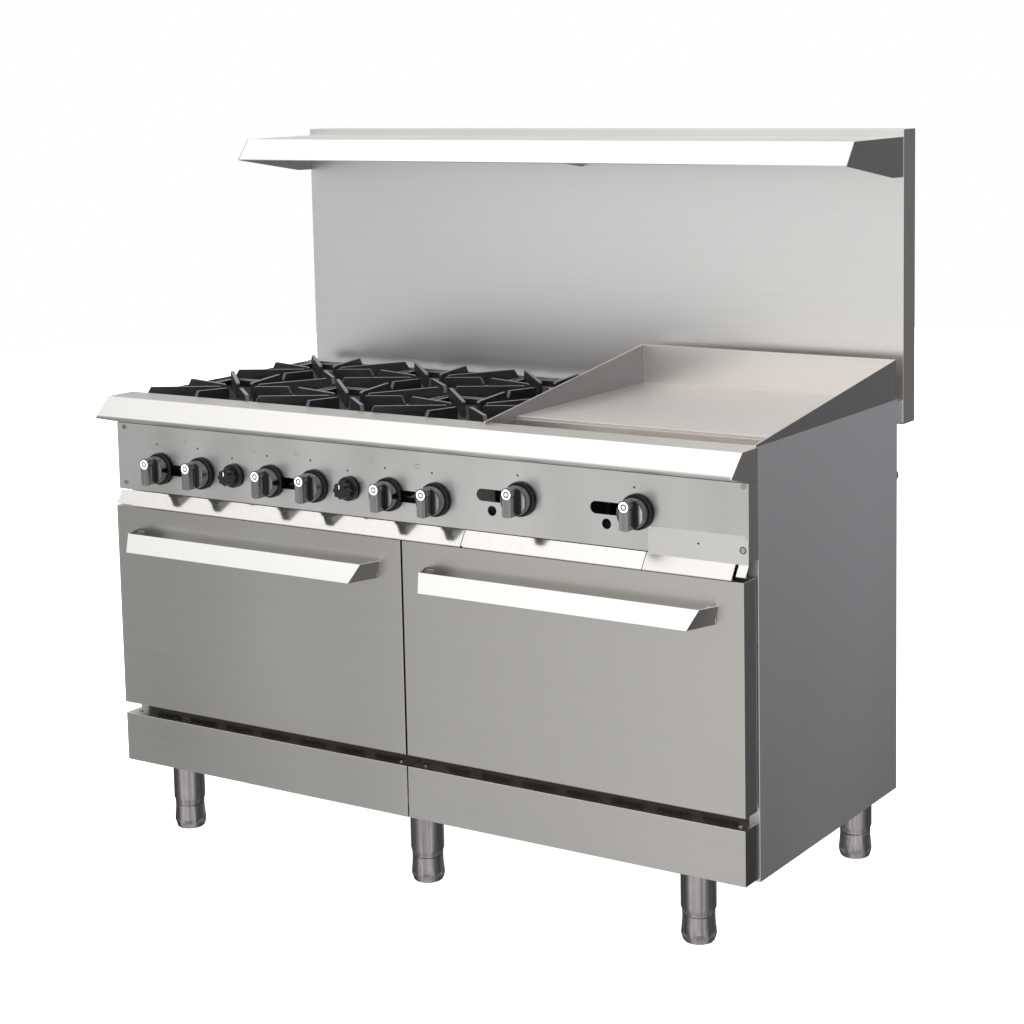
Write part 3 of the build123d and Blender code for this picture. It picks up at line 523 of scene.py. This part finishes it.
def turning(profile, shape=None):
    """A builder for knob_piece: a turned (radius, height) profile."""
    return lambda bm: lathe(bm, profile, shape=shape)


def knob_pieces(name, top, parts):
    """Every part of a knob; top is how far its front stands out from the panel side."""
    low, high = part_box(name)
    centre = ((low.x + high.x) / 2, low.y + top * MM, (low.z + high.z) / 2)
    hub = (centre[1] - high.y) / MM
    return [knob_piece(name, part, centre, build, material, width)
            for part, build, material, width in parts(hub)]


def valve_knob(name):
    """A gas knob: black skirt, graphite barrel and a silver grip bar with a boss at its top, and a
    painted highlight: a bright crescent on the face's right edge.
    """
    stem, core, skirt, skirt_edge, skirt_top = 4.0, 0.6, 33.8, 3.4, 5.0
    barrel, barrel_end, face, top = 29.3, 28.8, 25.0, 47.5
    grip, grip_half, cap, cap_half = 28.4, 10.6, 28.0, 9.8
    boss, collar, disc, ring, pip = (0.0, 17.0), 11.8, 10.2, 6.2, 3.4
    highlight_stripe, highlight_stripe_start, highlight_stripe_end, highlight_stripe_rise = 27.6, 19.4, 26.8, 0.5

    def parts(hub):
        return (
            ("skirt", turning(((stem, hub), (stem, 0.0), (skirt, 0.0), (skirt, skirt_edge),
                               (skirt - 1.8, skirt_top), (core, skirt_top))),
             "knob_rubber", 0.6),
            ("barrel", turning(((core, skirt_top), (barrel, skirt_top), (barrel_end, face),
                                (core, face))), "knob_graphite", 0.6),
            ("grip", prism(chord(grip, -grip_half, grip_half), face, top - 0.9),
             "knob_graphite", 0.8),
            ("cap", prism(chord(cap, -cap_half, cap_half), top - 0.9, top - 0.5),
             "knob_silver", 0.15),
            ("collar", prism(circle(boss, collar, 60), face, top - 0.3), "knob_graphite", 0.5),
            ("disc", prism(circle(boss, disc, 60), top - 0.3, top - 0.15), "white_print", 0.05),
            ("ring", prism(circle(boss, ring, 30), top - 0.15, top - 0.1), "dark_print_and_shadow", 0.02),
            ("pip", prism(circle(boss, pip, 20), top - 0.1, top - 0.05), "white_print", 0.02),
            # painted highlight: a bright steel crescent at the right edge of the knob face
            ("highlight_stripe", prism(chord(highlight_stripe, highlight_stripe_start, highlight_stripe_end), face, face + highlight_stripe_rise),
             "knob_bright", 0.2))

    return knob_pieces(name, top, parts)


def oven_knob(name):
    """A black thermostat knob whose grip has eight scooped sides."""
    stem, core, base, base_edge, base_top, scoops, scoop = 4.0, 0.6, 24.8, 4.5, 7.0, 8, 1.4
    grip, grip_top, top = 17.6, 30.4, 31.0
    line_half, line_start, line_end, line_rise = 0.9, 4.0, 12.0, 0.2

    def scooped(angle, radius, height):
        return radius + scoop * cos(scoops * angle)

    def parts(hub):
        return (
            ("base", turning(((stem, hub), (stem, 0.0), (base, 0.0), (base, base_edge),
                              (base - 1.8, base_top), (core, base_top))), "knob_black", 0.6),
            ("grip", turning(((grip, base_top), (grip - 0.4, 14.0), (grip - 1.4, 28.0),
                              (grip - 3.0, grip_top)), scooped), "knob_black", 0.5),
            ("line", prism(((-line_half, line_start), (line_half, line_start),
                            (line_half, line_end), (-line_half, line_end)),
                           grip_top, grip_top + line_rise), "white_print", 0.05))

    return knob_pieces(name, top, parts)


knobs = [name for name in nodes if "_knob_" in name]
for name in knobs:
    for piece in (oven_knob if name.startswith("oven") else valve_knob)(name):
        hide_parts(name)


# ---- marks on the control panel -----------------------------------------
print_thickness, print_sunk = 0.12, 0.1


def panel_prism(bm, x, z, outline, proud=0.0):
    """A thin print (for the cover screw, a painted shadow) on the panel's face, its outline in
    millimetres around (x, z).
    """
    verts = extruded(bm, outline, 0.0, print_thickness)
    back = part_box("control_panel")[0].y + (print_sunk - proud) * MM
    place = Matrix(((MM, 0, 0, x), (0, 0, -MM, back), (0, MM, 0, z), (0, 0, 0, 1)))
    bmesh.ops.transform(bm, matrix=place, verts=verts)


def print_marks(label, material, marks):
    """One piece holding several prints, and in one list a painted screw shadow; marks are (x, z,
    outline and how far it stands proud).
    """
    bm = bmesh.new()
    for mark in marks:
        panel_prism(bm, *mark)
    make_object(label, mesh_of(bm, label), "knob_black", nodes["control_panel"]["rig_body"],
                paint[material])


# in millimetres from a knob's middle: how far left and how far up its index dot is
mark_places = {"burner": (8.0, 52.0), "oven": (4.0, 36.0), "griddle": (6.5, 45.0)}
dot_radius = 2.3
plan_left, plan_low, plan_columns, plan_rows, plan_pitch = 42.0, 7.0, 3, 2, (5.5, 6.0)
plan_square = ((-2.0, -2.0), (2.0, -2.0), (2.0, 2.0), (-2.0, 2.0))
# the dark disc behind the tray side cover's screw is a painted shadow of the screw head
cover_screw_x, cover_screw_drop, screw_shadow_radius, screw_shadow_proud = 0.7508, 26.4, 7.0, 1.5

dots, squares = [], []
for name in sorted(knobs):
    low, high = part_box(name)
    kind = name.split("_")[0]
    left, rise = mark_places[kind]
    x = (low.x + high.x) / 2 - left * MM
    z = (low.z + high.z) / 2 + rise * MM
    dots.append((x, z, circle((0.0, 0.0), dot_radius, 12)))
    if kind == "burner":
        for column in range(plan_columns):
            for row in range(plan_rows):
                squares.append((x - (plan_left - plan_pitch[0] * column) * MM,
                                z + (plan_low + plan_pitch[1] * row) * MM, plan_square))
# painted shadow: a dark disc on the cover's face behind the screw head
dots.append((cover_screw_x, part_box("tray_side_cover")[1].z - cover_screw_drop * MM,
             circle((0.0, 0.0), screw_shadow_radius, 30), screw_shadow_proud))
print_marks("index_dots_and_screw_shadow", "dark_print_and_shadow", dots)
print_marks("burner_plan_marks", "grey_print", squares)


# ---- legs, screws and burner heads --------------------------------------
def solid_boxes(name):
    """The low and high corner of each separate solid of a CAD node."""
    bm = bmesh.new()
    bm.from_mesh(nodes[name].data)
    bmesh.ops.remove_doubles(bm, verts=bm.verts, dist=WELD)
    seen, boxes = set(), []
    for first in bm.verts:
        if first in seen:
            continue
        seen.add(first)
        stack, island = [first], []
        while stack:
            vert = stack.pop()
            island.append(vert.co.copy())
            for edge in vert.link_edges:
                other = edge.other_vert(vert)
                if other not in seen:
                    seen.add(other)
                    stack.append(other)
        boxes.append([Vector([pick(point[i] for point in island) for i in range(3)])
                      for pick in (min, max)])
    bm.free()
    return boxes


def turned(name, profile, shape=None, width=0.6):
    """Puts a turned profile, in millimetres, in place of every solid of a node."""
    bm = bmesh.new()
    for low, high in solid_boxes(name):
        middle = (low + high) / 2 / MM
        lathe(bm, profile, shape=shape, place=(middle.x, middle.y), turns=72)
    bmesh.ops.scale(bm, vec=(MM, MM, MM), verts=bm.verts)
    piece = make_object(name + "_turned", mesh_of(bm, name + "_turned"), slot_of[name],
                        nodes[name]["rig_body"])
    bevel(piece, width * MM)
    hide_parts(name)


flat_half, flat_top, flat_fade = 28.6, 12.0, 0.9


def wrench_flats(angle, radius, height):
    """Six flats that fade out above the foot's base."""
    flat = flat_half / cos((angle + pi / 6) % (pi / 3) - pi / 6)
    return min(radius, flat + max(0.0, height - flat_top) * flat_fade)


tube_low = min(low.z for low, high in solid_boxes("leg_tubes")) / MM
tube_high = max(high.z for low, high in solid_boxes("leg_tubes")) / MM
turned("leg_tubes", ((14.5, tube_low + 0.1), (30.8, tube_low + 0.1), (31.4, tube_low + 1.2),
                     (31.4, tube_low + 8.0), (33.9, tube_low + 16.0), (33.9, tube_high),
                     (14.5, tube_high)))
turned("leg_feet", ((28.0, 0.0), (30.0, 2.0), (33.4, 9.0), (33.9, 14.0), (33.7, 20.0),
                    (32.4, 32.0), (31.6, 42.0), (31.2, 50.8), (30.6, 51.9), (13.8, 51.9),
                    (13.8, 99.9)), shape=wrench_flats)

# ---- camera, floor and light --------------------------------------------
camera_data = bpy.data.cameras.new("camera")
camera = bpy.data.objects.new("camera", camera_data)
scene.collection.objects.link(camera)
camera.location = (2.5658, -3.8289, 1.6569)
camera.rotation_euler = (1.43896, 0.020533, 0.581542)
camera_data.lens = 78.26
camera_data.sensor_width = 36.0
camera_data.shift_y = -0.15625
scene.camera = camera

floor_mesh = bpy.data.meshes.new("floor")
bm = bmesh.new()
bmesh.ops.create_circle(bm, cap_ends=True, radius=9.0, segments=96)
bm.to_mesh(floor_mesh)
bm.free()
floor = bpy.data.objects.new("floor", floor_mesh)
scene.collection.objects.link(floor)
floor_shader = Shader("pale_floor")
floor_shader.wire(Base_Color=floor_shader.ramp(floor_shader.noise(floor_shader.place, scale=0.6),
                                               (0.3, (0.9, 0.9, 0.9)), (0.7, (0.94, 0.94, 0.94))))
floor_shader.set(Roughness=0.9, Emission_Color=(1.0, 1.0, 1.0, 1.0), Emission_Strength=1.0)
floor_mesh.materials.append(floor_shader.material)
floor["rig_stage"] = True
floor.visible_glossy = False


# brightness of the surroundings: along the direction 0.35 x - y, from behind the range to in
# front of it, then by height; each list is (position, level) stops
WALL_AXIS = (0.35, -1.0, 0.0)
WALLS = ((-1.1, 0.6), (-0.85, 0.4), (-0.64, 0.25), (-0.2, 0.15), (0.0, 0.13), (0.25, 0.2),
         (0.49, 0.38), (0.55, 0.46), (0.60, 0.62), (0.70, 0.8), (0.78, 0.76), (1.1, 0.9))
REAR_FALL = ((-0.42, 0.3), (-0.3, 0.55), (-0.2, 1.0))
REAR_TO_FRONT = ((-0.5, 0.0), (-0.3, 1.0))
WALL_TO_CEILING = ((0.25, 0.0), (0.75, 1.0))
BELOW_TO_WALL = ((-0.85, 1.0), (-0.4, 0.0))
CEILING, BELOW, GLOW = 1.3, 0.5, 1.0


def studio_world():
    """White to the camera, an even glow on matt surfaces, and graded walls in reflections."""
    world = bpy.data.worlds.new("studio")
    scene.world = world
    world.use_nodes = True
    tree = world.node_tree
    tree.nodes.clear()

    def add(kind, **settings):
        node = tree.nodes.new(kind)
        for key, value in settings.items():
            setattr(node, key, value)
        return node

    def across(vector, weights):
        node = add("ShaderNodeVectorMath", operation="DOT_PRODUCT")
        tree.links.new(vector, node.inputs[0])
        node.inputs[1].default_value = weights
        return node.outputs["Value"]

    def curve(value, stops):
        """A grey level that follows (position, level) stops; levels may pass one."""
        low, high = stops[0][0], stops[-1][0]
        spread = add("ShaderNodeMapRange")
        spread.inputs["From Min"].default_value = low
        spread.inputs["From Max"].default_value = high
        tree.links.new(value, spread.inputs["Value"])
        graph = add("ShaderNodeFloatCurve")
        points = graph.mapping.curves[0].points
        top = max(level for position, level in stops)
        places = [((position - low) / (high - low), level / top) for position, level in stops]
        for point, place in zip(points, (places[0], places[-1])):
            point.location = place
        for place in places[1:-1]:
            points.new(*place)
        graph.mapping.update()
        tree.links.new(spread.outputs["Result"], graph.inputs["Value"])
        scale = add("ShaderNodeMath", operation="MULTIPLY")
        tree.links.new(graph.outputs["Value"], scale.inputs[0])
        scale.inputs[1].default_value = top
        return scale.outputs["Value"]

    def choose(factor, first, second):
        node = add("ShaderNodeMix", data_type="FLOAT")
        tree.links.new(factor, node.inputs["Factor"])
        for socket, value in zip((node.inputs[2], node.inputs[3]), (first, second)):
            if isinstance(value, float):
                socket.default_value = value
            else:
                tree.links.new(value, socket)
        return node.outputs[0]

    toward = add("ShaderNodeTexCoord").outputs["Generated"]
    along = across(toward, WALL_AXIS)
    up = across(toward, (0.0, 0.0, 1.0))
    front = curve(along, WALLS)
    rear = add("ShaderNodeMath", operation="MULTIPLY")
    tree.links.new(front, rear.inputs[0])
    tree.links.new(curve(up, REAR_FALL), rear.inputs[1])
    walls = choose(curve(along, REAR_TO_FRONT), rear.outputs["Value"], front)
    room = choose(curve(up, WALL_TO_CEILING), walls, CEILING)
    room = choose(curve(up, BELOW_TO_WALL), room, BELOW)
    path = add("ShaderNodeLightPath")
    seen = choose(path.outputs["Is Diffuse Ray"], room, GLOW)
    seen = choose(path.outputs["Is Camera Ray"], seen, 1.0)
    background = add("ShaderNodeBackground")
    background.inputs["Color"].default_value = (1.0, 1.0, 1.0, 1.0)
    tree.links.new(seen, background.inputs["Strength"])
    tree.links.new(background.outputs["Background"],
                   add("ShaderNodeOutputWorld").inputs["Surface"])


studio_world()


def softbox(name, place, target, size, power):
    """A rectangular area light aimed at a point, not seen in reflections."""
    data = bpy.data.lights.new(name, "AREA")
    data.shape = "RECTANGLE"
    data.size, data.size_y = size
    data.energy = power
    light = bpy.data.objects.new(name, data)
    scene.collection.objects.link(light)
    light.location = place
    light.visible_glossy = False
    light.rotation_euler = (Vector(target) - Vector(place)).to_track_quat("-Z", "Y").to_euler()


softbox("overhead", (-1.3, -1.4, 3.1), (-0.2, -0.2, 0.9), (3.4, 3.0), 55.0)
softbox("key", (-1.7, -2.1, 2.9), (0.1, -0.3, 0.8), (0.8, 0.8), 45.0)
scene.view_settings.view_transform = "Standard"

low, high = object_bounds()
